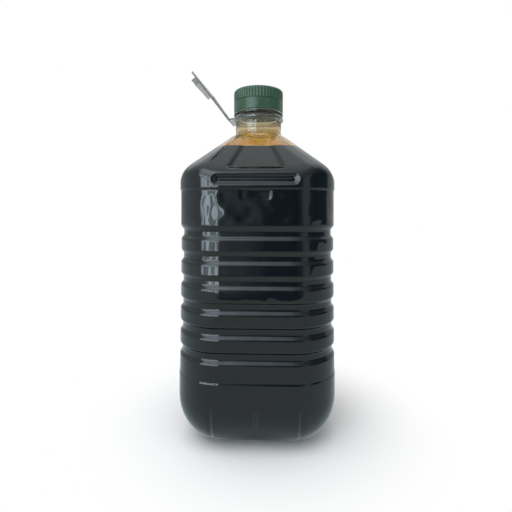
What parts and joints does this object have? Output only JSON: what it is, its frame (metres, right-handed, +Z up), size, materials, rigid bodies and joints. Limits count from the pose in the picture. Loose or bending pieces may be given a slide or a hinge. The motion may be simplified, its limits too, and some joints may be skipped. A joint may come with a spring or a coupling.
{
  "type": "balsamic vinegar jug",
  "caption": "Ribbed square clear plastic jug filled with dark vinegar, with a screw cap and a leaning carrying handle on its neck.",
  "frame": {"origin": "middle of the standing ring under the bottle, on the surface that it stands on", "axes": "+Z up along the neck, -Y is the front shown in the picture, and the handle leans towards -X"},
  "size_m": [0.1528, 0.1528, 0.3594],
  "materials": {
    "clear_plastic": "clear, glossy",
    "vinegar": "dark liquid, glossy",
    "green_plastic": "satin, moulded",
    "milky_plastic": "milky, translucent, moulded"
  },
  "bodies": {
    "root": {"bottle": "clear_plastic", "vinegar": "vinegar", "cap": "green_plastic", "handle": "milky_plastic"}
  },
  "joints": []
}
